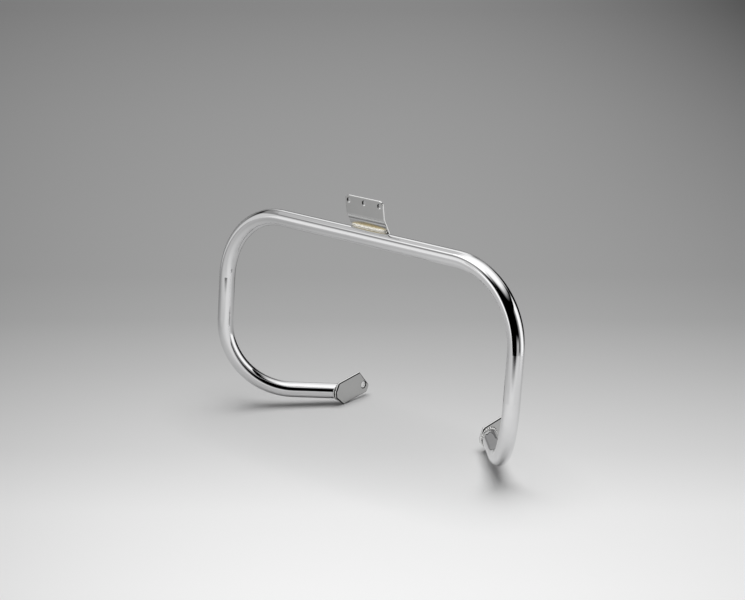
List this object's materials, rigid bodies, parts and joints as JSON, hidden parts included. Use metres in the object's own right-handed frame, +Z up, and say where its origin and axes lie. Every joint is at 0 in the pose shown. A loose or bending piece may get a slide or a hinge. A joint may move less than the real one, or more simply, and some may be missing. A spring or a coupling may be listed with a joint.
{
  "type": "motorcycle crash bar",
  "caption": "Chromed tubular crash bar: a rounded hoop whose legs turn inward and back to two flat bolt tabs, with a drilled plate bracket on its top run.",
  "frame": {"origin": "centre of the bracket's middle hole", "axes": "+Z up as the bar stands in the picture, +Y to the rear of the motorcycle, X across; the bar is a mirror image of itself across X = 0"},
  "size_m": [0.7528, 0.2551, 0.4967],
  "materials": {
    "tube_chrome": "mirror-polished chrome plate on steel tube",
    "plate_chrome": "chrome plate on pressed steel plate",
    "weld_chrome": "chrome plate over rippled weld bead"
  },
  "bodies": {
    "root": {"hoop_tube": "tube_chrome", "left_tab": "plate_chrome", "right_tab": "plate_chrome", "top_bracket": "plate_chrome", "left_tab_weld": "weld_chrome", "right_tab_weld": "weld_chrome", "bracket_front_weld": "weld_chrome", "bracket_rear_weld": "weld_chrome"}
  },
  "joints": []
}
